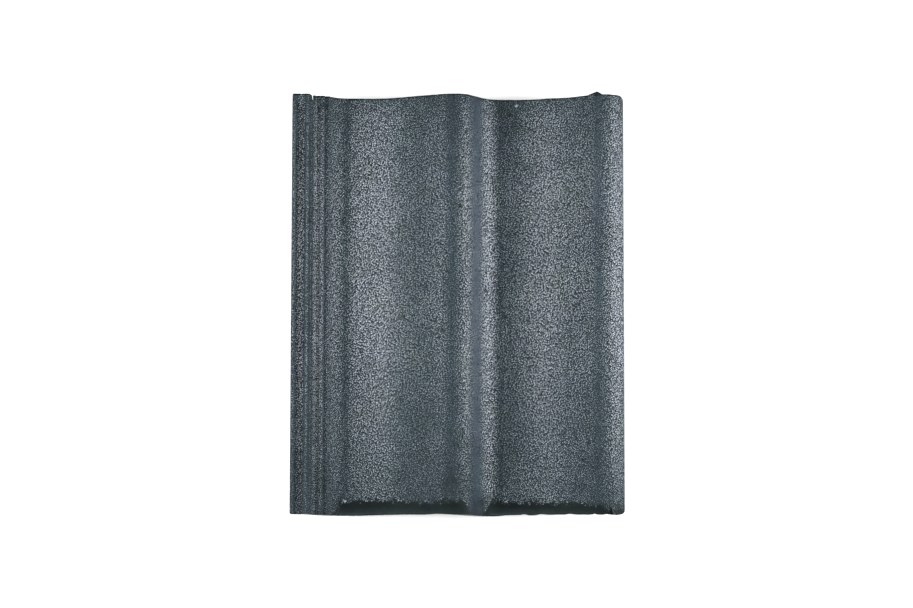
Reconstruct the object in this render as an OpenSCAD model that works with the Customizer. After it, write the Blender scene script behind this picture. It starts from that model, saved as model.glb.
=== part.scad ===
// Interlocking double-pan roof tile, one cast piece.
// X runs across the tile from the side lock to the edge roll, Y from the tail to the head, Z up.
// The tile lies level on its two nibs and its weather bar, with the origin below the middle of its box.

/* [Waves] */
// Length from the tail edge to the head edge
tile_length = 418; // [360:1:460]
// Distance from one tile to the next across a roof
cover_width = 300; // [296:1:310]
// Width from the side lock's slope to the same height on the centre roll's steep side
left_wave = 151; // [146:1:156]
// Height of the centre roll above the pans
roll_height = 34; // [30:0.5:35]
// Height of the edge roll above the pans
edge_roll_height = 37; // [36:0.25:38]
// Thickness of the body under pans and rolls
body_thickness = 12; // [10.5:0.25:13]
// Thickness of a steep side, square to its face
steep_thickness = 16; // [14:0.25:17]
// Slope of the steep sides, in degrees
steep_angle = 54; // [50:1:57]
// Slope of the long rising sides, in degrees
rise_angle = 28.5; // [27:0.5:30]
// Width of the centre roll's top, between the lines of its two sides
crest_width = 18; // [16.5:0.25:20]
// Width of the edge roll's top, between the lines of its two sides
edge_crest_width = 13; // [12.5:0.25:15]
// Radius where a rising side meets a pan
rise_foot_radius = 60; // [30:1:70]
// Radius where a rising side meets a roll's top
rise_top_radius = 34; // [20:1:36]
// Radius where a roll's top turns down into its steep side
steep_top_radius = 16; // [10:0.5:17]
// Radius where a steep side meets a pan
steep_foot_radius = 24; // [15:0.5:28]
// Radius of the hollow under a roll
hollow_radius = 6; // [3:0.5:8]

/* [Side locks] */
// Width of the lap, where one tile's edge roll covers the next tile's side lock
lap_width = 30; // [29:0.25:31]
// Thickness of the side lock below its channels
lock_thickness = 7; // [6:0.25:8]
// Clearance between the two tiles of a lap
lap_clearance = 0.8; // [0.5:0.1:1.2]
// Distance from the lap's end to the middle of the slope beside it
slope_setback = 3; // [2.4:0.1:4]
// Height of the outer and the middle rib above the pans
rib_height = 27.4; // [26:0.1:28]
// Height of the inner rib above the pans
inner_rib_height = 15.6; // [14.5:0.1:16.5]
// Depth of the side lock's channels
channel_depth = 4; // [3.2:0.1:4.6]
// Width of the side lock's ribs
rib_width = 3.2; // [2.6:0.1:3.6]
// Width of the slant on each side of a rib
rib_flank = 1; // [0.5:0.1:1.3]
// Distance from the tile's left edge to the middle rib
middle_rib_place = 14; // [13:0.25:14.5]
// Distance from the tile's left edge to the inner rib
inner_rib_place = 28.5; // [27.5:0.25:29]
// Depth of the groove between the inner rib and the slope
inner_groove_depth = 3.2; // [2.4:0.1:4]
// Width of the ribs that hang from the edge roll into the channels
hanging_rib_width = 5; // [3.5:0.25:5.5]
// Width of the edge roll's outer slope
edge_slope_width = 12.2; // [11.5:0.1:12.8]
// Slope of the edge roll's outer side, in degrees
edge_angle = 43; // [40:0.5:45]
// Radius where the edge roll's top turns down
edge_roll_radius = 24; // [14:1:26]
// Radius of the edge roll's outer edge
edge_radius = 5; // [3:0.25:6]
// Width of the edge roll's lower lip
lip_width = 3; // [2.5:0.25:3.5]

/* [Nose] */
// Length of the smooth bevel at the tail, in the pans
nose_length = 14; // [8:0.5:20]
// Depth of the bevel at the tail edge, in the pans
nose_drop = 9; // [7:0.25:10]
// Depth of the bevel at the tail edge, on the rolls
nose_roll_drop = 6.2; // [4:0.2:7]
// Distance from the tile's left edge to the bevel, at the tail edge
nose_start = 46; // [44:0.5:56]
// Distance from the bevel to the tile's right edge, at the tail edge
nose_stop = 11; // [8:0.5:20]
// How far each end of the bevel slants inwards along its length
nose_slant = 6; // [2:0.5:10]

/* [Underside] */
// How far the nibs and the weather bar stand below the pans
foot_depth = 9; // [6:0.5:12]
// Width of each nib
nib_width = 44; // [30:1:46]
// Length of each nib at its root
nib_length = 19; // [15:0.5:20]
// Distance from the head edge to the nibs' hooking faces
nib_place = 22; // [21:0.5:30]
// Radius of the nibs' lower edges
nib_radius = 2.5; // [1:0.25:4]
// Length of the weather bar, along the tile
bar_length = 9; // [6:0.5:12]
// Distance from the tail edge to the weather bar
bar_place = 16; // [10:0.5:20]

/* [Head] */
// How far the burr stands out of the head edge
burr_reach = 3; // [1:0.1:4]
// Width of the burr at its root
burr_width = 14; // [8:0.5:20]
// Distance from the tile's right edge to the burr's point
burr_place = 27; // [20:0.5:60]

/* [Corners] */
// Radius of the two corners on the edge roll's side, seen from above
edge_corner_radius = 5.5; // [3:0.25:7]
// Radius of the two corners on the side lock's side, seen from above
lock_corner_radius = 1.6; // [1:0.1:2.5]

/* [Hidden] */
$fn = 48;

// Turn from one point of an arc to the next, in degrees
arc_step = 5;
// Largest share of a line that one rounded corner may take
corner_share = 0.49;
// Share of a nib's length that is its flat bottom
nib_flat_share = 0.6;
// Share of the burr's width that lies to the left of its point
burr_left_share = 0.64;
// Overrun of every cut
overrun = 1;
// How far the nibs and the weather bar are rooted in the body
root_depth = body_thickness / 2;

tile_width = cover_width + lap_width;

// Levels of the two faces
pan_z = foot_depth + body_thickness;
crest_z = pan_z + roll_height;
edge_crest_z = pan_z + edge_roll_height;
middle_z = pan_z + roll_height / 2;
top_z = max(crest_z, edge_crest_z);
pan_under_z = pan_z - body_thickness;
crest_under_z = crest_z - body_thickness;
middle_under_z = middle_z - body_thickness;

// Middles of the two steep sides, at the side lock and on the centre roll, and half their width
lock_fall = lap_width + slope_setback;
centre_fall = lock_fall + left_wave;
steep_half = roll_height / 2 / tan(steep_angle);

// Tops and feet of the two rising sides
rise_top = centre_fall - steep_half - crest_width;
rise_foot = rise_top - roll_height / tan(rise_angle);
edge_rise_top = tile_width - edge_slope_width - edge_crest_width;
edge_rise_foot = edge_rise_top - edge_roll_height / tan(rise_angle);

// How far sideways the lower face's lines lie from the upper face's
steep_shift = steep_thickness * sin(steep_angle)
  - (body_thickness - steep_thickness * cos(steep_angle)) / tan(steep_angle);
rise_shift = body_thickness * tan(rise_angle / 2);

// Levels in the lap, from the edge roll's lower face down to the side lock's lower face
rib_z = pan_z + rib_height;
ceiling_z = rib_z + lap_clearance;
channel_z = rib_z - channel_depth;
lock_under_z = channel_z - lock_thickness;
inner_rib_z = pan_z + inner_rib_height;
lip_z = inner_rib_z + lap_clearance;
inner_groove_z = inner_rib_z - inner_groove_depth;

// Where the lap's two faces turn down towards the edge, past the middle rib, and where the lip starts
lap_bend = cover_width + middle_rib_place + rib_width + lap_clearance;
lip_start = tile_width - lip_width;
lap_rate = (ceiling_z - lip_z) / (lip_start - lap_bend);
shoulder = cover_width - lap_clearance;

// Middles of the two hanging ribs, over the middles of the channels
outer_hanging_rib = cover_width + (rib_width + middle_rib_place) / 2;
inner_hanging_rib = cover_width + (middle_rib_place + rib_width + inner_rib_place) / 2;

// Middles of the two pans' lower faces
left_pan = (lock_fall + steep_half - steep_shift + rise_foot + rise_shift) / 2;
right_pan = (centre_fall + steep_half - steep_shift + edge_rise_foot + rise_shift) / 2;

nose_angle = atan(nose_drop / nose_length);
tail_y = -(tile_length + burr_reach) / 2;
head_y = tail_y + tile_length;

// Drop of the lap's faces at a place past their bend
function lap_drop(x) = max(0, x - lap_bend) * lap_rate;

// Place on a steep side's line at a height, given its middle
function on_steep(fall, middle, z) = fall + (middle - z) / tan(steep_angle);

// Points of the arc that rounds the corner b on the way from a to c, each given as [x, z, radius]
function corner_arc(a, b, c) =
  let (
    way_in = atan2(b[1] - a[1], b[0] - a[0]),
    way_out = atan2(c[1] - b[1], c[0] - b[0]),
    raw_turn = way_out - way_in,
    turn = raw_turn > 180 ? raw_turn - 360 : raw_turn < -180 ? raw_turn + 360 : raw_turn,
    room_in = norm([b[0] - a[0], b[1] - a[1]]) * corner_share * (a[2] == 0 ? 2 : 1),
    room_out = norm([c[0] - b[0], c[1] - b[1]]) * corner_share * (c[2] == 0 ? 2 : 1),
    reach = min(b[2] * tan(abs(turn) / 2), room_in, room_out),
    bend = sign(turn) * reach / tan(abs(turn) / 2),
    start = [b[0], b[1]] - reach * [cos(way_in), sin(way_in)],
    centre = start + bend * [-sin(way_in), cos(way_in)],
    steps = max(1, ceil(abs(turn) / arc_step))
  )
  [for (i = [0 : steps])
    let (heading = way_in + turn * i / steps)
    centre + bend * [sin(heading), -cos(heading)]];

// A line through points given as [x, z, radius], with its corners rounded
function rounded(path) =
  [for (i = [0 : len(path) - 1])
    each path[i][2] == 0 ? [[path[i][0], path[i][1]]] : corner_arc(path[i - 1], path[i], path[i + 1])];

// Upper face of the side lock: three ribs, two channels and the inner groove, from the left edge
lock_path = [
  [0, lock_under_z, 0],
  [0, rib_z, 0],
  [rib_width, rib_z, 0],
  [rib_width + rib_flank, channel_z, 0],
  [middle_rib_place - rib_flank, channel_z, 0],
  [middle_rib_place, rib_z, 0],
  [middle_rib_place + rib_width, rib_z, 0],
  [middle_rib_place + rib_width + rib_flank,
    channel_z - lap_drop(cover_width + middle_rib_place + rib_width + rib_flank), 0],
  [inner_rib_place - rib_flank, channel_z - lap_drop(cover_width + inner_rib_place - rib_flank), 0],
  [inner_rib_place, inner_rib_z, 0],
  [inner_rib_place + rib_width, inner_rib_z, 0],
  [inner_rib_place + rib_width + rib_flank, inner_groove_z, 0],
  [on_steep(lock_fall, middle_z, inner_groove_z), inner_groove_z, 0],
];

// Upper face of the pans and rolls, from the side lock's slope to the edge roll
face_path = [
  [lock_fall + steep_half, pan_z, steep_foot_radius],
  [rise_foot, pan_z, rise_foot_radius],
  [rise_top, crest_z, rise_top_radius],
  [centre_fall - steep_half, crest_z, steep_top_radius],
  [centre_fall + steep_half, pan_z, steep_foot_radius],
  [edge_rise_foot, pan_z, rise_foot_radius],
  [edge_rise_top, edge_crest_z, rise_top_radius],
  [tile_width - edge_slope_width, edge_crest_z, edge_roll_radius],
];

// Outer edge of the edge roll, down to its lip
edge_path = [
  [tile_width, edge_crest_z - edge_slope_width * tan(edge_angle), edge_radius],
  [tile_width, lip_z, 0],
  [lip_start, lip_z, 0],
];

// Lower face of the pans and rolls, from the lap's shoulder back to the side lock
under_path = [
  [shoulder, pan_under_z + (shoulder - edge_rise_foot - rise_shift) * tan(rise_angle), 0],
  [edge_rise_foot + rise_shift, pan_under_z, rise_foot_radius],
  [centre_fall + steep_half - steep_shift, pan_under_z, steep_foot_radius],
  [centre_fall - steep_half - steep_shift, crest_under_z, hollow_radius],
  [rise_top + rise_shift, crest_under_z, hollow_radius],
  [rise_foot + rise_shift, pan_under_z, rise_foot_radius],
  [lock_fall + steep_half - steep_shift, pan_under_z, steep_foot_radius],
  [on_steep(lock_fall - steep_shift, middle_under_z, lock_under_z), lock_under_z, 0],
];

// A rib that hangs from the lap's lower face, from right to left
function hanging_rib(middle) =
  [for (place = [[1, 0], [1, 1], [-1, 1], [-1, 0]])
    let (x = middle + place[0] * (hanging_rib_width / 2 - place[1] * rib_flank))
    [x, ceiling_z - lap_drop(x) - place[1] * channel_depth, 0]];

// Lower face of the lap, from the lip back to the shoulder
lap_path = concat(
  hanging_rib(inner_hanging_rib),
  [[lap_bend, ceiling_z, 0]],
  hanging_rib(outer_hanging_rib),
  [[shoulder, ceiling_z, 0]]
);

// The whole section, once round
section = rounded(concat(lock_path, face_path, edge_path, lap_path, under_path));

// A flat outline of [x, z] points, drawn out along Y from one place to another
module along_tile(points, from_y, to_y) {
  translate([-tile_width / 2, to_y, 0])
    rotate([90, 0, 0])
      linear_extrude(to_y - from_y)
        polygon(points);
}

// The whole section, drawn out from tail to head
module wave_body() {
  along_tile(section, tail_y, head_y);
}

// The burr left on the head edge where the tile was cut off: the section drawn further, pointed in plan
module head_burr() {
  intersection() {
    along_tile(section, head_y - overrun, head_y + burr_reach);
    translate([tile_width / 2 - burr_place, head_y, 0])
      linear_extrude(top_z)
        polygon([
          [-burr_width * burr_left_share, -overrun],
          [burr_width * (1 - burr_left_share), -overrun],
          [burr_width * (1 - burr_left_share), 0],
          [0, burr_reach],
          [-burr_width * burr_left_share, 0],
        ]);
  }
}

// Level of the bevel at the tail edge, below a point of the face
function nose_level(z) =
  z - nose_drop + (z - pan_z) / roll_height * (nose_drop - nose_roll_drop);

// What the nose's bevel takes away: the space above the face's own waves, sunk and drawn out on a slope
module nose_cut() {
  face = rounded(concat(
    [[lock_fall, middle_z, 0]],
    face_path,
    [[tile_width, edge_crest_z - edge_slope_width * tan(edge_angle), 0]]
  ));
  top = 2 * top_z;
  line = [for (p = face) [p[0], nose_level(p[1]) * cos(nose_angle)]];
  slant_rate = nose_slant / nose_length;
  reach = 2 * nose_length;
  left = nose_start;
  right = tile_width - nose_stop;
  intersection() {
    translate([-tile_width / 2, tail_y, 0])
      rotate([90 + nose_angle, 0, 0])
        linear_extrude(4 * top, center = true)
          polygon(concat(line, [[tile_width, top], [lock_fall, top]]));
    translate([-tile_width / 2, tail_y, 0])
      linear_extrude(top)
        polygon([
          [left - slant_rate * overrun, -overrun],
          [right + slant_rate * overrun, -overrun],
          [right - slant_rate * reach, reach],
          [left + slant_rate * reach, reach],
        ]);
  }
}

// What rounds one upright corner, drawn with the corner at the origin and the tile on its +X, +Y side
module corner_cut(radius) {
  translate([0, 0, -overrun])
    linear_extrude(top_z + 2 * overrun)
      difference() {
        translate([-overrun, -overrun])
          square(radius + overrun);
        translate([radius, radius])
          circle(radius);
      }
}

// The four upright corners, two at the tail and two at the head
module corner_cuts() {
  for (head = [0, 1])
    translate([0, head == 1 ? head_y : tail_y, 0])
      mirror([0, head, 0]) {
        translate([-tile_width / 2, 0, 0])
          corner_cut(lock_corner_radius);
        translate([tile_width / 2, 0, 0])
          mirror([1, 0, 0])
            corner_cut(edge_corner_radius);
      }
}

// A nib under a pan, with an upright face towards the tail that hooks over a batten
module nib(place) {
  hook_y = head_y - nib_place;
  profile = [
    [hook_y, pan_under_z + root_depth, 0],
    [hook_y, 0, nib_radius],
    [hook_y + nib_length * nib_flat_share, 0, nib_radius],
    [hook_y + nib_length, pan_under_z, 0],
    [hook_y + nib_length, pan_under_z + root_depth, 0],
  ];
  translate([place - nib_width / 2 - tile_width / 2, 0, 0])
    rotate([90, 0, 90])
      linear_extrude(nib_width)
        polygon(rounded(profile));
}

// A weather bar: a low rib that follows the lower face across the tile
module weather_bar(from_y) {
  line = rounded(under_path);
  last = len(line) - 1;
  along_tile(
    concat(
      [for (p = line) [p[0], p[1] - foot_depth]],
      [for (i = [last : -1 : 0]) [line[i][0], line[i][1] + root_depth]]
    ),
    from_y,
    from_y + bar_length
  );
}

module roof_tile() {
  color("slategray")
    difference() {
      union() {
        wave_body();
        head_burr();
        for (place = [left_pan, right_pan])
          nib(place);
        weather_bar(tail_y + bar_place);
      }
      nose_cut();
      corner_cuts();
    }
}

roof_tile();
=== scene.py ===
"""Interlocking roof tile with a granular face: its looks, and the studio it is pictured in.

Lengths are in metres. In the tables below, a place across the tile is measured from its left edge, and a table's
row gives a middle, a half width and a value that falls off smoothly to both sides, unless its comment says more.
"""

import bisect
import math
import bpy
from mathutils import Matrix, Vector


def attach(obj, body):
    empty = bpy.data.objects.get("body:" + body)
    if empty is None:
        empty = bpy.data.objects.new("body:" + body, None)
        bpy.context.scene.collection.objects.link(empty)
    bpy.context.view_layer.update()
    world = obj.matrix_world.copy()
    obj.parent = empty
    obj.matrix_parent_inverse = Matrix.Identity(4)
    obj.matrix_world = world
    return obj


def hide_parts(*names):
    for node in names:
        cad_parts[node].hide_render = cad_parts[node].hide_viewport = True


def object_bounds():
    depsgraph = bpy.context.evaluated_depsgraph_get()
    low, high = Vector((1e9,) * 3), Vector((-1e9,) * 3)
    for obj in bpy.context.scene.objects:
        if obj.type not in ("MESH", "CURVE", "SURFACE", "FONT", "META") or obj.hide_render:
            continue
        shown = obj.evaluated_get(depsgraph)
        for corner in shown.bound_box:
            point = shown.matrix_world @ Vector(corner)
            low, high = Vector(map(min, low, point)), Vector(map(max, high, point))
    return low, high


bl_info = {
    "name": "Interlocking roof tile",
    "version": (1, 0, 0),
    "blender": (4, 5, 0),
    "location": "3D View > Sidebar > Roof tile",
    "description": "Builds the granular face of an interlocking roof tile and a plain studio around it",
    "category": "Object",
}

import bmesh
import bpy
from mathutils import Matrix, Vector, noise

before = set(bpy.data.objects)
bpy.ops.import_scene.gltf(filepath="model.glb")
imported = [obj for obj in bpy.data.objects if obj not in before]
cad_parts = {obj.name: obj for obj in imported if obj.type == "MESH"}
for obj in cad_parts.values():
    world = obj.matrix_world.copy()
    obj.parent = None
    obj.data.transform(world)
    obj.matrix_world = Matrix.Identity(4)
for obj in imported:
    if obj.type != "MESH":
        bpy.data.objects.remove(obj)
CAD_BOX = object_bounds()

X, Y = 0, 1
LEFT = CAD_BOX[0][X]
TAIL = CAD_BOX[0][Y]

# A face counts as part of the weathered side when it leans upwards at least this much.
UPWARD = 0.02
# It counts as a cut end when it leans along the tile at least this much, and as square when it leans more.
ENDWARD = 0.9
SQUARE = 0.99
# The nose bevel leans towards the tail at least this much, and lies this near the tail.
NOSE_LEAN = -0.2
NOSE_ZONE = 0.03
# Verts this near a cut or an end plane count as lying on it, and verts this near each other are merged.
TOUCH = 2e-5
MERGE = 1e-6
# Neighbours that meet flatter than the first angle are joined, and edges sharper than the second stay sharp.
FLAT_ANGLE = math.radians(0.3)
SHARP_ANGLE = math.radians(28.0)

# Granule cover over the section: middle, half width, change in cover. The bands carry painted light and shade as
# well as the real cover: they make floors and slopes that face the lights lighter, and corners, grooves, feet and
# the ground in the rolls' shadow darker.
COVER = 0.43
LEAST_COVER = 0.04
COVER_AND_SHADE_BANDS = (
    (0.0015, 0.0026, -0.14),  # rubbed outer rib
    (0.0048, 0.0024, -0.32),  # painted shade in the corners of the first channel
    (0.0132, 0.0018, -0.42),
    (0.0088, 0.0056, 0.24),   # painted light on the floor of the first channel
    (0.0156, 0.0018, -0.02),  # middle rib
    (0.0180, 0.0018, -0.44),  # painted shade in the corners of the second channel, and a lighter line beside the first
    (0.0193, 0.0009, 0.06),
    (0.0204, 0.0013, -0.34),
    (0.0272, 0.0011, -0.40),
    (0.0254, 0.0034, 0.42),   # painted light on the floor of the second channel
    (0.0299, 0.0032, 0.42),   # inner rib, with painted light
    (0.0331, 0.0025, -0.34),  # painted shade in the groove beside the inner rib
    (0.0375, 0.0034, -0.12),
    (0.0435, 0.0065, 0.10),   # side lock's slope
    (0.0544, 0.0060, -0.26),  # painted shade at the foot of that slope
    (0.0660, 0.0140, 0.20),   # left pan: granules gather there, and painted light where its floor is lit
    (0.086, 0.025, 0.34),
    (0.128, 0.026, -0.13),    # painted shade on the left rise, which faces away from the right light
    (0.1590, 0.0115, -0.29),  # crest of the centre roll
    (0.1735, 0.0068, 0.32),   # painted light on the shoulder above the steep side
    (0.1840, 0.0065, 0.02),   # smeared stripe down the steep side
    (0.1964, 0.0092, 0.66),   # painted light at the foot of the steep side
    (0.2085, 0.0050, -0.18),  # painted shade at the left edge of the right pan, in the centre roll's shadow
    (0.2170, 0.0140, -0.16),
    (0.252, 0.026, 0.23),     # right pan, with painted light past the centre roll's shadow
    (0.293, 0.007, -0.05),    # right rise
    (0.304, 0.0090, -0.21),   # crest of the edge roll
    (0.3172, 0.0045, 0.14),   # painted light on the outer slope of the edge roll
    (0.3235, 0.0100, 0.48),
)
# The face is darkened towards both ends by thinning its granules: towards the tail this is painted fall-off of the
# light, and at the head it is strongest in a band. The granules also thin out on the smeared stripe above the nose.
# Share lost at the end, and length over which it is lost.
TAIL_PAINTED_FALLOFF = (0.74, 0.172)
HEAD_THINNING = (0.48, 0.100)
HEAD_BAND = (0.28, 0.018)
STRIPE_THINNING = (0.75, 0.016)
# Where the ends are darkened less: middle, half width, share of that loss spared.
TAIL_FALLOFF_SPARED = ((0.085, 0.036, 0.08), (0.212, 0.030, 0.24), (0.258, 0.050, 0.26))
HEAD_SPARED = ((0.085, 0.036, 0.32), (0.258, 0.050, 0.32))
# Smooth smears where hardly a granule sticks: middle, half width, share smeared.
SMEARS = (
    (0.0016, 0.0026, 0.4),    # the side lock's ribs
    (0.0156, 0.0026, 0.3),
    (0.0190, 0.0020, 0.2),
    (0.0306, 0.0026, 0.25),
    (0.1590, 0.0085, 0.34),   # crest of the centre roll
    (0.1838, 0.0070, 1.15),   # stripe down its steep side
    (0.304, 0.0080, 0.45),    # crest of the edge roll
)
# Single white granules: place across, and distance from the head, or None for the upper edge of the nose.
PALE_SPECKS = ((0.2246, 0.0062), (0.0546, None))
SPECK_SIZE = 0.0016

# Bites out of the tail edge: middle, half width, depth.
TAIL_BITES = (
    (0.257, 0.058, 0.0013),
    (0.2325, 0.0045, 0.0009),
    (0.104, 0.048, 0.0010),
    (0.221, 0.020, 0.0009),
    (0.2515, 0.006, 0.0004),
    (0.2488, 0.004, 0.0006),
    (0.2770, 0.006, 0.0006),
    (0.146, 0.016, 0.0008),
    (0.299, 0.004, 0.0005),
    (0.3115, 0.004, 0.0007),
    (0.3255, 0.004, 0.0006),
)
# Shallow hollows in the head edge, measured the same way.
HEAD_BITES = ((0.276, 0.024, 0.0008), (0.020, 0.004, 0.0004))
# How far from an end its bites and wear are felt, and the share of the wear that is felt off the end itself.
BITE_REACH = 0.009
INNER_WEAR = 0.3
# Scales of the wear's noise across and up the end, and its place in the noise at each end.
WEAR_ACROSS = 420.0
WEAR_UP = 150.0
TAIL_SEED = 3.0
HEAD_SEED = 9.0

# The slot broken into the head end of the side lock's second channel.
SLOT_LINES = (0.0194, 0.0197, 0.0201, 0.0205)
SLOT_DEPTH = 0.0047
SLOT_REACH = 0.0070
SLOT_LEAN = 0.0004
# The pit beside the slot, how much of the painted shade in it is laid as dark slurry, and how far that spreads past
# the pit.
PIT_ACROSS = 0.0218
PIT_FROM_HEAD = 0.0021
PIT_HALF_WIDTH = 0.0019
PIT_DEPTH = 0.0022
PIT_PAINTED_SHADE = 0.0150
PIT_SPREAD = 1.3
# Granules that fill the corner between the second channel and the inner rib.
DRIFT_LEFT = 0.0250
DRIFT_RIGHT = 0.0287
DRIFT_LEVEL = 0.0364
# The filled head end of the side lock's first channel, a little below the top of the ribs.
RIB_TOP = 0.0484
FILL_LEFT = 0.0035
FILL_RIGHT = 0.0137
FILL_LENGTH = 0.0090
FILL_FADE = 0.0030
FILL_LEVEL = RIB_TOP - 0.0003
# The side lock, whose arrises the granules round off, and how strongly.
LOCK_WIDTH = 0.0375
LOCK_ROUNDING = 0.3

# How the nose slurry sinks to the tail at its left and right end: place, length and drop.
NOSE_LEFT = (0.0420, 0.0070, 0.0150)
NOSE_RIGHT = (0.3250, 0.0220, 0.0058)
# Where the slurry's upper edge climbs past the bevel (middle, half width, height), felt this far down the bevel.
NOSE_CLIMBS = (
    (0.098, 0.058, 0.0017),
    (0.158, 0.024, 0.0040),
    (0.200, 0.012, 0.0030),
    (0.285, 0.014, 0.0020),
    (0.324, 0.013, 0.0050),
)
CLIMB_REACH = 0.010
# Half width of the slurry's upper edge, and where it is blurred (middle, half width, change), up to this far above
# the bevel.
SLURRY_EDGE = 0.0012
SLURRY_BLURS = ((0.047, 0.012, 0.0026), (0.186, 0.022, 0.0044), (0.322, 0.034, 0.0054))
BLUR_REACH = 0.010
# How near the slurry is everywhere else, so that flecks of it show between the granules.
FLECKS = -0.003
# Where the smeared stripe runs over the nose: middle, half width and how far the slurry draws back there.
NOSE_GAP = (0.1860, 0.0135, 0.0140)
GAP_STEEPNESS = 1.4
# How deep in the slurry the cut ends count, so that bare dark lines run along them, and how fast that falls.
END_LINE = 0.0040
END_LINE_FALL = 3.0
# Farther above the nose than this, the distance no longer matters.
FARTHEST = -0.02
# Faces this deep in the slurry are shaded smooth.
SMOOTH_SLURRY = 0.0015

# The granules' relief: noise cells to the metre, slurry depth over which it fades, how much of it a smear takes away
# and how far verts shake sideways, as a share of the mesh step.
RELIEF_CELLS = 1300.0
RELIEF_FADE = 0.003
SMEAR_CALM = 0.85
SHAKE_SHARE = 0.35

# The granular face's textures: noise scales, and the granules' grid, turned so that its rows follow no edge.
GRAIN_TURN = math.radians(31.0)
GRAIN_SCATTER = 0.90
MOTTLE_SCALE = 30.0
RIPPLE_SCALE = 150.0
PATCH_SCALE = 48.0
WANDER_SCALE = 260.0
CLOUD_SCALE = 45.0
TINT_SCALE = 34.0
# Area of a granule at full cover and at the least, by the square of its radius in cells.
STONE_AREA = 0.158
LEAST_AREA = 0.002
# Ramps: where each starts and stops, and what it gives there if not nought and one.
MOTTLE = (0.3, 0.7, -0.07, 0.07)            # change in cover, by noise
STONE_EDGE = (-0.08, 0.08)                  # granule, by the distance inside its rim
STONE_HEIGHT = (-0.1, 0.45)                 # relief, by the same distance
DUST = (0.0, 1.0, 0.0, 0.11)                # granule colour in the binder, by chance
FILM_SHARE = (0.05, 0.75, 0.04, 0.29)       # granule colour in a smear, by cover
RIPPLE = (0.3, 0.7, 0.86, 1.14)             # brightness of a smear, by noise
SMEAR_PATCHES = (0.3, 0.7, 0.45, 1.25)      # strength of a smear, by noise
SMEAR_LUMPS = (0.0, 1.0, 0.75, 1.1)         # strength of a smear, by chance
MOST_SMEAR = 0.92
WANDER = (0.25, 0.75, -0.0022, 0.0022)      # the slurry edge's way up and down, by noise
CHIPS = (0.0, 1.0, -0.0024, 0.0024)         # and by chance
NOSE_PAINTED_LIGHT = (0.0045, 0.0125)              # thinner slurry, by depth
PAINTED_LIGHT_WANDER = 0.6
CLOUDS = (0.35, 0.7, 0.0, 0.35)             # thinner slurry, by noise
ARRIS_HIGHLIGHT = (0.0108, 0.0122)                    # painted highlight along the lower arris of the nose, by depth
ARRIS_HIGHLIGHT_PATCHES = (0.40, 0.60, 0.0, 0.25)     # and by noise
BRINK_RISE = (-0.0035, -0.0005)             # stray granules along the slurry's edge, by depth
BRINK_FALL = (0.0005, 0.0035, 1.0, 0.0)
TAIL_CLEAR = (TAIL + 0.003, TAIL + 0.005)   # only near the tail, but off its end, by place
TAIL_HALF = (-0.1, 0.0, 1.0, 0.0)
STRAY_CHANCE = (0.80, 0.84, 0.0, 0.75)      # by chance
STRAY_DISC = (0.08, 0.22, 1.0, 0.0)         # and by the distance from their middle
TINT = (0.32, 0.68)                         # from the blue cast to the green one, by noise
COLD = (0.15, 0.60)                         # from the bare tint to the covered one, by cover
GLOSS = (0.0, 1.0, 0.90, 0.68)              # roughness, by slurry
FILM_TINT = (0.95, 1.0, 1.16, 1.0)
BLUE_CAST = (0.98, 1.0, 1.045, 1.0)
GREEN_CAST = (0.94, 1.0, 0.970, 1.0)
BARE_TINT = (0.90, 1.0, 1.03, 1.0)
COVERED_TINT = (1.01, 1.0, 1.01, 1.0)
RIPPLE_STRETCH = (0.3, 1.0, 1.0)
FACE_BUMP = {"Strength": 0.5, "Distance": 0.0005}
FACE_SPECULAR = 0.1

# The bare concrete's textures, in the same way.
STREAK_SCALE = 260.0
STAIN_SCALE = 24.0
PORE_SCALE = 420.0
STREAK_STRETCH = (1.0, 0.12, 1.0)
STREAKS = (0.3, 0.7, 0.78, 1.18)            # brightness, by noise drawn out along the tile
STAINS = (0.3, 0.7, 0.85, 1.12)             # brightness, by noise
PORE_DISC = (0.12, 0.3, 1.0, 0.0)           # pore, by the distance from its middle
PORE_CHANCE = (0.72, 0.76)                  # and by chance
PORE_DARKNESS = (0.0, 1.0, 1.0, 0.45)       # brightness, by pore
STREAK_HEIGHT = 0.5
CONCRETE_BUMP = {"Strength": 0.45, "Distance": 0.0006}
CONCRETE_ROUGHNESS = 0.86
CONCRETE_SPECULAR = 0.25

# The studio: half the floor's width and its roughness, where the lights aim, how far the side lights stand towards
# the tail, where the fill light stands from there, and the world's strength.
FLOOR_HALF = 6.0
FLOOR_ROUGHNESS = 0.9
LIGHT_AIM = Vector((0.0, 0.0, 0.03))
SIDE_SHIFT = -0.03
FILL_PLACE = Vector((-0.6, -0.9, 2.1))
WORLD_STRENGTH = 0.45
# The camera turns about this place, and its line of sight passes it by this much across and along.
CAMERA_AIM = Vector((0.0, 0.0, 0.038))
CAMERA_SHIFT = (-0.00103, -0.00128)
SENSOR_WIDTH = 36.0


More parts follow.
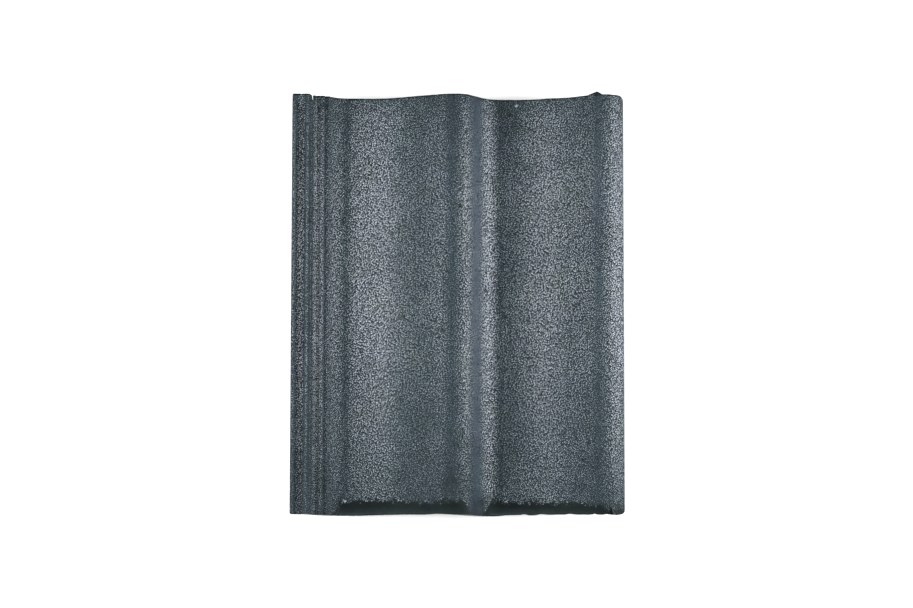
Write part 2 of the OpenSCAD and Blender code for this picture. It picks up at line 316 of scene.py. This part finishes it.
class RoofTileLook(bpy.types.PropertyGroup):
    """Sizes and colours of the granular tile"""
    mesh_step: bpy.props.FloatProperty(
        name="Mesh step", description="Distance between the lines cut into the granular face",
        default=0.00128, min=0.0005, unit="LENGTH")
    granule_spacing: bpy.props.FloatProperty(
        name="Granule spacing", description="Distance between neighbouring granules",
        default=0.0015, min=0.0003, unit="LENGTH")
    granule_relief: bpy.props.FloatProperty(
        name="Granule relief", description="How deep the face dips between granules",
        default=0.0003, min=0.0, unit="LENGTH")
    edge_wear: bpy.props.FloatProperty(
        name="Edge wear", description="How far the cut ends wander inwards",
        default=0.0004, min=0.0, unit="LENGTH")
    pale_granule: bpy.props.FloatVectorProperty(
        name="Pale granule", description="Colour of the lightest granules", subtype="COLOR",
        size=4, default=(0.462, 0.492, 0.530, 1.0), min=0.0, max=1.0)
    grey_granule: bpy.props.FloatVectorProperty(
        name="Grey granule", description="Colour of the common granules", subtype="COLOR",
        size=4, default=(0.243, 0.267, 0.293, 1.0), min=0.0, max=1.0)
    dark_granule: bpy.props.FloatVectorProperty(
        name="Dark granule", description="Colour of the darkest granules", subtype="COLOR",
        size=4, default=(0.108, 0.122, 0.136, 1.0), min=0.0, max=1.0)
    binder: bpy.props.FloatVectorProperty(
        name="Binder", description="Colour of the cement between granules", subtype="COLOR",
        size=4, default=(0.0088, 0.0125, 0.0142, 1.0), min=0.0, max=1.0)
    # Near black: the slurry's own dark colour, darkened further with painted shade, as the nose faces away from the
    # lights.
    slurry: bpy.props.FloatVectorProperty(
        name="Slurry", description="Colour of the smooth slurry on the nose", subtype="COLOR",
        size=4, default=(0.0026, 0.0048, 0.0048, 1.0), min=0.0, max=1.0)
    # Paler slurry, used for painted light towards the lower edge of the nose and for its cloudy patches.
    pale_slurry: bpy.props.FloatVectorProperty(
        name="Thin slurry", description="Colour of the slurry towards the lower edge of the nose", subtype="COLOR",
        size=4, default=(0.0135, 0.0200, 0.0196, 1.0), min=0.0, max=1.0)
    concrete: bpy.props.FloatVectorProperty(
        name="Concrete", description="Colour of the bare concrete below and at the cut ends", subtype="COLOR",
        size=4, default=(0.085, 0.094, 0.098, 1.0), min=0.0, max=1.0)


class RoofTileStudio(bpy.types.PropertyGroup):
    """Floor, lights and camera around the tile"""
    floor_colour: bpy.props.FloatVectorProperty(
        name="Floor colour", description="Colour of the plain floor", subtype="COLOR",
        size=4, default=(0.88, 0.88, 0.88, 1.0), min=0.0, max=1.0)
    side_power: bpy.props.FloatProperty(
        name="Side light power", description="Power of each of the two side lights",
        default=78.0, min=0.0, unit="POWER")
    side_height: bpy.props.FloatProperty(
        name="Side light height", description="Angle of the side lights above the floor",
        default=math.radians(30.0), subtype="ANGLE")
    side_distance: bpy.props.FloatProperty(
        name="Side light distance", description="Distance of the side lights from the tile",
        default=2.2, min=0.5, unit="LENGTH")
    light_size: bpy.props.FloatProperty(
        name="Light size", description="Width of each soft light", default=1.1, min=0.1, unit="LENGTH")
    fill_power: bpy.props.FloatProperty(
        name="Fill light power", description="Power of the soft light high over the tail, to the left",
        default=16.0, min=0.0, unit="POWER")
    camera_distance: bpy.props.FloatProperty(
        name="Camera distance", description="Distance from the camera to the tile's face",
        default=3.25, min=0.5, unit="LENGTH")
    camera_tilt: bpy.props.FloatProperty(
        name="Camera tilt", description="Lean of the camera towards the tail",
        default=math.radians(6.4449), subtype="ANGLE")
    camera_turn: bpy.props.FloatProperty(
        name="Camera turn", description="Lean of the camera to the side",
        default=math.radians(2.134), subtype="ANGLE")
    camera_roll: bpy.props.FloatProperty(
        name="Camera roll", description="Turn of the camera about its own line of sight",
        default=math.radians(-0.3205), subtype="ANGLE")
    camera_lens: bpy.props.FloatProperty(
        name="Camera lens", description="Focal length in millimetres on a 36 mm sensor", default=129.15, min=10.0)


def clamp(value):
    """The value, kept between nought and one."""
    return max(0.0, min(1.0, value))


def hump(distance, half_width):
    """One at the middle, falling smoothly to nought at the half width."""
    share = abs(distance) / half_width
    return (1.0 - share * share) ** 2 if share < 1.0 else 0.0


def bands(table, across):
    """The sum of a table's humps at a place across the tile."""
    return sum(value * hump(across - middle, half) for middle, half, value in table)


def along_line(line, place):
    """The line's second value at a place, between its nearest points."""
    after = bisect.bisect_left(line, (place,))
    if after == 0 or after == len(line):
        return line[min(after, len(line) - 1)][1]
    (low, first), (high, second) = line[after - 1], line[after]
    share = (place - low) / (high - low) if high > low else 0.0
    return first + (second - first) * share


def is_upper(face):
    """Whether a face belongs to the weathered side."""
    return face.normal.z > UPWARD


def is_end(face):
    """Whether a face belongs to a cut end."""
    return abs(face.normal.y) > ENDWARD


def touches_upper(vert):
    """Whether a vert lies on the weathered side or on its border."""
    return any(is_upper(face) for face in vert.link_faces)


def cad_copy(name):
    """A merged copy of a CAD mesh, with its flat neighbours on the weathered side joined."""
    bm = bmesh.new()
    bm.from_mesh(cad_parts[name].data)
    bmesh.ops.remove_doubles(bm, verts=bm.verts, dist=MERGE)
    bm.normal_update()
    flat = [edge for edge in bm.edges if all(is_upper(face) for face in edge.link_faces)]
    bmesh.ops.dissolve_limit(
        bm, angle_limit=FLAT_ANGLE, use_dissolve_boundaries=False, verts=[], edges=flat, delimit=set())
    bm.normal_update()
    return bm


def parts_of(faces):
    """The faces with their edges and verts, in a steady order."""
    edges = {edge: None for face in faces for edge in face.edges}
    verts = {vert: None for face in faces for vert in face.verts}
    return list(faces) + list(edges) + list(verts)


def sweep_cuts(bm, faces, places, axis):
    """Cut the faces across an axis at each place, from low to high, and pass on only what lies ahead."""
    normal = Vector((0.0, 0.0, 0.0))
    normal[axis] = 1.0
    ahead = list(faces)
    for place in sorted(places):
        cut = bmesh.ops.bisect_plane(
            bm, geom=parts_of(ahead), dist=TOUCH, plane_co=normal * place, plane_no=normal)
        ahead = [
            piece for piece in cut["geom"]
            if isinstance(piece, bmesh.types.BMFace)
            and max(vert.co[axis] for vert in piece.verts) > place + TOUCH]


def between_lines(lines, step):
    """Places that part the gaps between the lines into steps."""
    places = []
    for low, high in zip(lines, lines[1:]):
        count = round((high - low) / step)
        places += [low + (high - low) * turn / count for turn in range(1, count)]
    return places


def head_line(bm):
    """Where the head's end face lies, without the burr on it."""
    ends = [face for face in bm.faces if face.normal.y > SQUARE]
    return max(ends, key=lambda face: face.calc_area()).calc_center_median().y


def cut_face(bm, step):
    """Cut the weathered side into a fine grid, and both ends into columns that match it."""
    slot = [LEFT + line for line in SLOT_LINES]
    sweep_cuts(bm, list(bm.faces), slot, X)
    lines = sorted({round(vert.co.x, 5) for face in bm.faces if is_upper(face) for vert in face.verts})
    sweep_cuts(bm, [face for face in bm.faces if is_upper(face) or is_end(face)], between_lines(lines, step), X)
    head = head_line(bm)
    under_slot = [
        face for face in bm.faces
        if face.normal.z < -UPWARD and slot[0] - TOUCH < face.calc_center_median().x < slot[-1] + TOUCH]
    sweep_cuts(bm, under_slot, [head - SLOT_REACH], Y)
    sweep_cuts(bm, [face for face in bm.faces if is_upper(face)], between_lines((TAIL, head), step), Y)
    bm.normal_update()


def nose_line(bm):
    """The upper edge of the nose bevel, as places from left to right."""
    line = []
    for edge in bm.edges:
        sides = [face for face in edge.link_faces if is_upper(face)]
        if len(sides) == 2 and max(vert.co.y for vert in edge.verts) < TAIL + NOSE_ZONE:
            leans = sorted(face.normal.y for face in sides)
            if leans[0] < NOSE_LEAN < leans[1]:
                middle = (edge.verts[0].co + edge.verts[1].co) / 2.0
                line.append((middle.x, middle.y))
    return sorted(line)


def map_face(bm):
    """Lay a map on the weathered side, in metres along its section and along the tile."""
    rows = [vert for vert in bm.verts if touches_upper(vert)]
    middle = min(rows, key=lambda vert: abs(vert.co.y)).co.y
    section = sorted((vert.co.x, vert.co.z) for vert in rows if abs(vert.co.y - middle) < TOUCH)
    lengths = [(section[0][0], 0.0)]
    for (low, first), (high, second) in zip(section, section[1:]):
        lengths.append((high, lengths[-1][1] + math.hypot(high - low, second - first)))
    layer = bm.loops.layers.uv.new("surface")
    for face in bm.faces:
        if is_upper(face):
            for loop in face.loops:
                loop[layer].uv = (along_line(lengths, loop.vert.co.x), loop.vert.co.y)


def pit_hump(across, from_head, spread=1.0):
    """One at the pit's middle, falling to nought at its rim, or at its rim times the spread."""
    off = math.hypot(across - PIT_ACROSS, from_head - PIT_FROM_HEAD)
    return hump(off, spread * PIT_HALF_WIDTH)


def cover_and_shade_at(across, from_tail, from_head, depth, gap):
    """How thick the granules lie at a place on the face, with painted light and shade laid in as more or fewer
    granules.
    """
    value = COVER + bands(COVER_AND_SHADE_BANDS, across)
    at_tail = 1.0 - bands(TAIL_FALLOFF_SPARED, across)
    at_head = 1.0 - bands(HEAD_SPARED, across)
    for loss, reach, away in (
            (TAIL_PAINTED_FALLOFF[0] * at_tail, TAIL_PAINTED_FALLOFF[1], from_tail),
            (HEAD_THINNING[0] * at_head, HEAD_THINNING[1], from_head),
            (HEAD_BAND[0] / at_head ** 2, HEAD_BAND[1], from_head),
            (STRIPE_THINNING[0] * gap, STRIPE_THINNING[1], -depth)):
        value *= 1.0 - loss * clamp(1.0 - away / reach)
    return max(LEAST_COVER, value)


def slurry_at(across, from_tail, from_head, depth, gap):
    """How deep in the slurry a place on the face lies, from its depth below the nose's upper edge."""
    for inside, length, drop in (
            (across - NOSE_LEFT[0], *NOSE_LEFT[1:]), (NOSE_RIGHT[0] - across, *NOSE_RIGHT[1:])):
        depth -= drop * clamp(1.0 - inside / length)
    depth -= NOSE_GAP[2] * gap
    depth += bands(NOSE_CLIMBS, across) * max(0.0, 1.0 - max(0.0, depth) / CLIMB_REACH)
    end = min(from_head, from_tail) if across > LOCK_WIDTH else from_head
    if end <= TOUCH:
        return END_LINE
    # Painted shade in the pit beside the slot, laid as dark slurry.
    pit_shade = PIT_PAINTED_SHADE * pit_hump(across, from_head, PIT_SPREAD) + FLECKS
    return max(depth, END_LINE - END_LINE_FALL * end, pit_shade)


def coat(bm, head):
    """Store on each vert of the face its granule cover, which carries painted light and shade, its smears, slurry
    and blur, and how near a white granule is.

    Gives back the layers of the smears and the slurry, which the relief needs too.
    """
    layers = bm.verts.layers.float
    cover_and_shade, smear, nose, speck, blur = [layers.new(name) for name in ("cover_and_shade", "smear", "nose", "speck", "blur")]
    line = nose_line(bm)
    specks = [
        (across, along_line(line, LEFT + across) if down is None else head - down) for across, down in PALE_SPECKS]
    for vert in bm.verts:
        if not touches_upper(vert):
            continue
        across = vert.co.x - LEFT
        depth = max(FARTHEST, along_line(line, vert.co.x) - vert.co.y)
        gap = min(1.0, GAP_STEEPNESS * hump(across - NOSE_GAP[0], NOSE_GAP[1]))
        place = (across, vert.co.y - TAIL, head - vert.co.y, depth, gap)
        vert[cover_and_shade] = cover_and_shade_at(*place)
        vert[smear] = min(1.0, max(share * hump(across - middle, half) for middle, half, share in SMEARS))
        vert[nose] = slurry_at(*place)
        vert[blur] = SLURRY_EDGE + clamp(1.0 + depth / BLUR_REACH) * bands(SLURRY_BLURS, across)
        vert[speck] = max(hump(math.hypot(across - side, along - vert.co.y), SPECK_SIZE) for side, along in specks)
    return smear, nose


def soften_lock(bm, head):
    """Fill the head end of the first channel, and round the lock's arrises as the granule coat does."""
    lock = [vert for vert in bm.verts if vert.co.x - LEFT < LOCK_WIDTH and touches_upper(vert)]
    inner = [vert for vert in lock if all(is_upper(face) for face in vert.link_faces)]
    for vert in lock:
        across = vert.co.x - LEFT
        if FILL_LEFT < across < FILL_RIGHT and vert.co.y > head - FILL_LENGTH - FILL_FADE:
            share = min(1.0, (vert.co.y - head + FILL_LENGTH + FILL_FADE) / FILL_FADE)
            vert.co.z = max(vert.co.z, vert.co.z + (FILL_LEVEL - vert.co.z) * share)
        if DRIFT_LEFT < across < DRIFT_RIGHT:
            vert.co.z = max(vert.co.z, DRIFT_LEVEL)
        vert.co.z -= PIT_DEPTH * pit_hump(across, head - vert.co.y)
    bmesh.ops.smooth_vert(
        bm, verts=inner, factor=LOCK_ROUNDING, use_axis_x=False, use_axis_y=False, use_axis_z=True)
    bm.normal_update()


def granule_move(vert, look, smear, nose):
    """How a vert of the weathered side moves with its granule. It never rises above the CAD face."""
    faces = vert.link_faces
    upper = [face for face in faces if is_upper(face)]
    if not upper:
        return Vector((0.0, 0.0, 0.0))
    grain = noise.cell_vector(vert.co * RELIEF_CELLS)
    bare = clamp(0.5 + vert[nose] / RELIEF_FADE)
    rough = (1.0 - bare) * (1.0 - SMEAR_CALM * vert[smear])
    dip = look.granule_relief * (0.5 + rough * (grain.z - 0.5))
    if len(upper) < len(faces):
        return Vector((0.0, 0.0, -dip))
    along = Vector((0.0, 1.0, 0.0))
    side = along.cross(vert.normal).normalized()
    shake = look.mesh_step * SHAKE_SHARE * rough
    return -vert.normal * dip + side * ((grain.x - 0.5) * shake) + along * ((grain.y - 0.5) * shake)


def end_wear(vert, look, from_end, bites, seed):
    """How far a vert near a cut end is worn inwards."""
    wear = look.edge_wear * abs(noise.noise(Vector((vert.co.x * WEAR_ACROSS, seed, vert.co.z * WEAR_UP))))
    felt = 1.0 if from_end < TOUCH else INNER_WEAR
    return (bands(bites, vert.co.x - LEFT) + wear * felt) * (1.0 - from_end / BITE_REACH)


def roughen(bm, look, head, smear, nose):
    """Raise the granules, wear the cut ends and break the slot into the head of the side lock."""
    moves = []
    for vert in bm.verts:
        move = granule_move(vert, look, smear, nose)
        across, from_tail, from_head = vert.co.x - LEFT, vert.co.y - TAIL, head - vert.co.y
        if from_tail < BITE_REACH:
            move.y += end_wear(vert, look, from_tail, TAIL_BITES, TAIL_SEED)
        elif -TOUCH < from_head < BITE_REACH:
            move.y -= end_wear(vert, look, from_head, HEAD_BITES, HEAD_SEED)
            if SLOT_LINES[0] + TOUCH < across < SLOT_LINES[-1] - TOUCH and from_head < SLOT_REACH:
                share = 1.0 - from_head / SLOT_REACH
                move.y -= SLOT_DEPTH * share
                move.x = SLOT_LEAN * share
        moves.append((vert, move))
    for vert, move in moves:
        vert.co += move


class Graph:
    """A material's nodes, with short calls to add and join them."""

    def __init__(self, name):
        self.material = bpy.data.materials.new(name)
        self.material.use_nodes = True
        self.tree = self.material.node_tree
        self.shader = self.tree.nodes["Principled BSDF"]
        self.place = self.add("ShaderNodeTexCoord").outputs["Object"]

    def add(self, kind, inputs=(), **settings):
        node = self.tree.nodes.new(kind)
        for key, value in settings.items():
            setattr(node, key, value)
        for key, value in dict(inputs).items():
            self.set(node.inputs[key], value)
        return node

    def set(self, socket, value):
        if isinstance(value, bpy.types.NodeSocket):
            self.tree.links.new(value, socket)
        else:
            socket.default_value = value

    def math(self, operation, first, second):
        return self.add("ShaderNodeMath", {0: first, 1: second}, operation=operation).outputs[0]

    def product(self, first, *others):
        for other in others:
            first = self.math("MULTIPLY", first, other)
        return first

    def mix(self, share, first, second, blend="MIX"):
        node = self.add("ShaderNodeMix", {0: share, 6: first, 7: second}, data_type="RGBA", blend_type=blend)
        return node.outputs[2]

    def tinted(self, colour, tint):
        return self.mix(1.0, colour, tint, "MULTIPLY")

    def ramp(self, value, low, high, start=0.0, stop=1.0):
        return self.add("ShaderNodeMapRange", {0: value, 1: low, 2: high, 3: start, 4: stop}).outputs[0]

    def noise(self, scale, detail, place=None):
        node = self.add("ShaderNodeTexNoise", {"Vector": place or self.place, "Scale": scale, "Detail": detail})
        return node.outputs["Fac"]

    def stretch(self, factors):
        return self.add("ShaderNodeVectorMath", {0: self.place, 1: factors}, operation="MULTIPLY").outputs[0]

    def cells(self, scale, place=None, dimensions="3D", randomness=1.0):
        node = self.add(
            "ShaderNodeTexVoronoi", {"Vector": place or self.place, "Scale": scale, "Randomness": randomness},
            voronoi_dimensions=dimensions)
        parts = self.add("ShaderNodeSeparateColor", {0: node.outputs["Color"]})
        return node.outputs["Distance"], parts.outputs

    def attribute(self, name):
        return self.add("ShaderNodeAttribute", attribute_name=name).outputs["Fac"]

    def bump(self, height, settings):
        return self.add("ShaderNodeBump", {**settings, "Height": height}).outputs[0]

    def finish(self, inputs):
        for key, value in inputs.items():
            self.set(self.shader.inputs[key], value)
        return self.material


def granule_shades(graph, look, chance):
    """The colour of each granule, from dark to pale by chance."""
    shade = graph.add("ShaderNodeValToRGB", {0: chance})
    marks = shade.color_ramp.elements
    marks[0].position, marks[0].color = 0.0, look.dark_granule
    marks[1].position, marks[1].color = 1.0, look.pale_granule
    marks.new(0.5).color = look.grey_granule
    return shade.outputs[0]


def granular_material(look):
    """Stone granules pressed into dark cement, and smooth slurry on the nose."""
    graph = Graph("granular_face")
    surface = graph.add("ShaderNodeMapping", {
        "Vector": graph.add("ShaderNodeUVMap", uv_map="surface").outputs[0],
        "Rotation": (0.0, 0.0, GRAIN_TURN)}).outputs[0]
    distance, chance = graph.cells(1.0 / look.granule_spacing, surface, "2D", GRAIN_SCATTER)
    lump, coarse = graph.cells(0.5 / look.granule_spacing, surface, "2D")
    patch = graph.noise(PATCH_SCALE, 3.0)

    # Granules, as wide as the cover asks, and the binder between them; since the cover carries painted light and
    # shade, wider granules paint light and narrower ones paint shade.
    mottle = graph.ramp(graph.noise(MOTTLE_SCALE, 3.0), *MOTTLE)
    cover_and_shade = graph.math("ADD", graph.attribute("cover_and_shade"), mottle)
    area = graph.math("MAXIMUM", graph.product(cover_and_shade, STONE_AREA), LEAST_AREA)
    spare = graph.math("SUBTRACT", graph.math("SQRT", area, 0.0), distance)
    ground = graph.mix(graph.ramp(chance[2], *DUST), look.binder, look.dark_granule)
    colour = graph.mix(graph.ramp(spare, *STONE_EDGE), ground, granule_shades(graph, look, chance[1]))

    # Smears, as a film of ground granules.
    film = graph.mix(graph.ramp(cover_and_shade, *FILM_SHARE), look.binder, look.grey_granule)
    ripple = graph.noise(RIPPLE_SCALE, 2.0, graph.stretch(RIPPLE_STRETCH))
    film = graph.tinted(graph.tinted(film, graph.ramp(ripple, *RIPPLE)), FILM_TINT)
    smear = graph.product(
        graph.attribute("smear"), graph.ramp(patch, *SMEAR_PATCHES), graph.ramp(coarse[0], *SMEAR_LUMPS))
    smear = graph.math("MINIMUM", smear, MOST_SMEAR)
    colour = graph.mix(smear, colour, film)

    # Slurry with a ragged edge, with painted light making it paler towards the lower arris of the nose, and a
    # painted highlight along that arris.
    depth = graph.attribute("nose")
    wander = graph.ramp(graph.noise(WANDER_SCALE, 3.0), *WANDER)
    ragged = graph.math("ADD", depth, graph.math("ADD", wander, graph.ramp(coarse[1], *CHIPS)))
    blur = graph.attribute("blur")
    slurry = graph.ramp(ragged, graph.product(blur, -1.0), blur)
    painted_light = graph.ramp(graph.math("ADD", depth, graph.product(wander, PAINTED_LIGHT_WANDER)), *NOSE_PAINTED_LIGHT)
    cloud = graph.ramp(graph.noise(CLOUD_SCALE, 3.0), *CLOUDS)
    wet = graph.mix(graph.math("MAXIMUM", painted_light, cloud), look.slurry, look.pale_slurry)
    arris_highlight = graph.product(graph.ramp(depth, *ARRIS_HIGHLIGHT), graph.ramp(patch, *ARRIS_HIGHLIGHT_PATCHES))
    colour = graph.mix(slurry, colour, graph.mix(arris_highlight, wet, look.concrete))

    # Pale granules astray along the slurry's edge, and the single white ones.
    along = graph.add("ShaderNodeSeparateXYZ", {0: graph.place}).outputs["Y"]
    stray = graph.product(
        graph.ramp(coarse[2], *STRAY_CHANCE), graph.ramp(lump, *STRAY_DISC),
        graph.ramp(depth, *BRINK_RISE), graph.ramp(depth, *BRINK_FALL),
        graph.ramp(along, *TAIL_CLEAR), graph.ramp(along, *TAIL_HALF))
    colour = graph.mix(graph.math("MAXIMUM", stray, graph.attribute("speck")), colour, look.pale_granule)

    # Faint casts of colour, in patches and by cover.
    colour = graph.tinted(colour, graph.mix(graph.ramp(graph.noise(TINT_SCALE, 2.0), *TINT), BLUE_CAST, GREEN_CAST))
    colour = graph.tinted(colour, graph.mix(graph.ramp(cover_and_shade, *COLD), BARE_TINT, COVERED_TINT))

    grainy = graph.math("SUBTRACT", 1.0, graph.math("MAXIMUM", slurry, smear))
    height = graph.product(graph.ramp(spare, *STONE_HEIGHT), grainy)
    return graph.finish({
        "Base Color": colour,
        "Roughness": graph.ramp(slurry, *GLOSS),
        "Specular IOR Level": FACE_SPECULAR,
        "Normal": graph.bump(height, FACE_BUMP)})


def concrete_material(look):
    """Bare cast concrete: streaked along the tile, with fine pores."""
    graph = Graph("bare_concrete")
    streak = graph.ramp(graph.noise(STREAK_SCALE, 3.0, graph.stretch(STREAK_STRETCH)), *STREAKS)
    stain = graph.ramp(graph.noise(STAIN_SCALE, 4.0), *STAINS)
    distance, chance = graph.cells(PORE_SCALE)
    pore = graph.product(graph.ramp(distance, *PORE_DISC), graph.ramp(chance[0], *PORE_CHANCE))
    tone = graph.product(streak, stain, graph.ramp(pore, *PORE_DARKNESS))
    height = graph.math("SUBTRACT", graph.product(streak, STREAK_HEIGHT), pore)
    return graph.finish({
        "Base Color": graph.tinted(look.concrete, tone),
        "Roughness": CONCRETE_ROUGHNESS,
        "Specular IOR Level": CONCRETE_SPECULAR,
        "Normal": graph.bump(height, CONCRETE_BUMP)})


class ROOFTILE_OT_tile(bpy.types.Operator):
    """Build the tile: a granular face, a smooth nose, worn ends and a bare underside"""
    bl_idname = "rooftile.tile"
    bl_label = "Build the tile"

    def execute(self, context):
        look = context.scene.roof_tile_look
        bm = cad_copy("roof_tile")
        cut_face(bm, look.mesh_step)
        head = head_line(bm)
        map_face(bm)
        smear, nose = coat(bm, head)
        soften_lock(bm, head)
        for face in bm.faces:
            face.material_index = 0 if is_upper(face) else 1
            face.smooth = not is_upper(face) or all(vert[nose] > SMOOTH_SLURRY for vert in face.verts)
        for edge in bm.edges:
            edge.smooth = edge.calc_face_angle() < SHARP_ANGLE
        roughen(bm, look, head, smear, nose)
        bm.normal_update()
        mesh = bpy.data.meshes.new("granular_roof_tile")
        bm.to_mesh(mesh)
        bm.free()
        mesh.materials.append(granular_material(look))
        mesh.materials.append(concrete_material(look))
        piece = bpy.data.objects.new("granular_roof_tile", mesh)
        context.scene.collection.objects.link(piece)
        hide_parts("roof_tile")
        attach(piece, "root")
        return {"FINISHED"}


def lay_floor(context, studio):
    """A plain pale floor under the tile."""
    bm = bmesh.new()
    bmesh.ops.create_grid(bm, x_segments=1, y_segments=1, size=FLOOR_HALF)
    mesh = bpy.data.meshes.new("studio_floor")
    bm.to_mesh(mesh)
    bm.free()
    graph = Graph("studio_floor")
    mesh.materials.append(graph.finish({
        "Base Color": studio.floor_colour, "Roughness": FLOOR_ROUGHNESS, "Specular IOR Level": 0.0}))
    floor = bpy.data.objects.new("studio_floor", mesh)
    context.scene.collection.objects.link(floor)


def soft_light(context, studio, name, shift, power):
    """A round soft light, shifted from the place that it shines on."""
    lamp = bpy.data.lights.new(name, "AREA")
    lamp.shape = "DISK"
    lamp.size = studio.light_size
    lamp.energy = power
    holder = bpy.data.objects.new(name, lamp)
    holder.location = LIGHT_AIM + shift
    holder.rotation_euler = shift.to_track_quat("Z", "Y").to_euler()
    context.scene.collection.objects.link(holder)


def set_lights(context, studio):
    """Two soft lights at the sides, a weak one high over the tail, and an even white world."""
    rise = math.sin(studio.side_height) * studio.side_distance
    reach = math.cos(studio.side_height) * studio.side_distance
    soft_light(context, studio, "right_light", Vector((reach, SIDE_SHIFT, rise)), studio.side_power)
    soft_light(context, studio, "left_light", Vector((-reach, SIDE_SHIFT, rise)), studio.side_power)
    soft_light(context, studio, "fill_light", FILL_PLACE, studio.fill_power)
    world = bpy.data.worlds.new("studio_world")
    world.use_nodes = True
    background = world.node_tree.nodes["Background"]
    background.inputs["Color"].default_value = (1.0, 1.0, 1.0, 1.0)
    background.inputs["Strength"].default_value = WORLD_STRENGTH
    context.scene.world = world
    context.scene.view_settings.view_transform = "Standard"


def place_camera(context, studio):
    """A camera at the photo's view, over the tile and a little towards its tail."""
    camera = bpy.data.cameras.new("photo_camera")
    camera.sensor_fit = "HORIZONTAL"
    camera.sensor_width = SENSOR_WIDTH
    camera.lens = studio.camera_lens
    holder = bpy.data.objects.new("photo_camera", camera)
    turn = (
        Matrix.Rotation(studio.camera_roll, 3, "Z")
        @ Matrix.Rotation(studio.camera_turn, 3, "Y")
        @ Matrix.Rotation(-studio.camera_tilt, 3, "X")).transposed()
    place = CAMERA_AIM + turn @ Vector((*CAMERA_SHIFT, studio.camera_distance))
    holder.matrix_world = Matrix.Translation(place) @ turn.to_4x4()
    context.scene.collection.objects.link(holder)
    context.scene.camera = holder


class ROOFTILE_OT_stage(bpy.types.Operator):
    """Lay the pale floor, set the soft lights and place the camera over the tile"""
    bl_idname = "rooftile.stage"
    bl_label = "Set the stage"

    def execute(self, context):
        studio = context.scene.roof_tile_studio
        lay_floor(context, studio)
        set_lights(context, studio)
        place_camera(context, studio)
        return {"FINISHED"}


class ROOFTILE_PT_panel(bpy.types.Panel):
    """Settings and steps of the roof tile"""
    bl_idname = "ROOFTILE_PT_panel"
    bl_label = "Roof tile"
    bl_space_type = "VIEW_3D"
    bl_region_type = "UI"
    bl_category = "Roof tile"

    def draw(self, context):
        for group in (context.scene.roof_tile_look, context.scene.roof_tile_studio):
            column = self.layout.column()
            for key in group.__annotations__:
                column.prop(group, key)
        self.layout.operator(ROOFTILE_OT_tile.bl_idname)
        self.layout.operator(ROOFTILE_OT_stage.bl_idname)


CLASSES = (RoofTileLook, RoofTileStudio, ROOFTILE_OT_tile, ROOFTILE_OT_stage, ROOFTILE_PT_panel)


def register():
    for kind in CLASSES:
        bpy.utils.register_class(kind)
    bpy.types.Scene.roof_tile_look = bpy.props.PointerProperty(type=RoofTileLook)
    bpy.types.Scene.roof_tile_studio = bpy.props.PointerProperty(type=RoofTileStudio)


def unregister():
    del bpy.types.Scene.roof_tile_studio
    del bpy.types.Scene.roof_tile_look
    for kind in reversed(CLASSES):
        bpy.utils.unregister_class(kind)


def main():
    register()
    bpy.ops.rooftile.tile()
    bpy.ops.rooftile.stage()


if __name__ == "__main__":
    main()
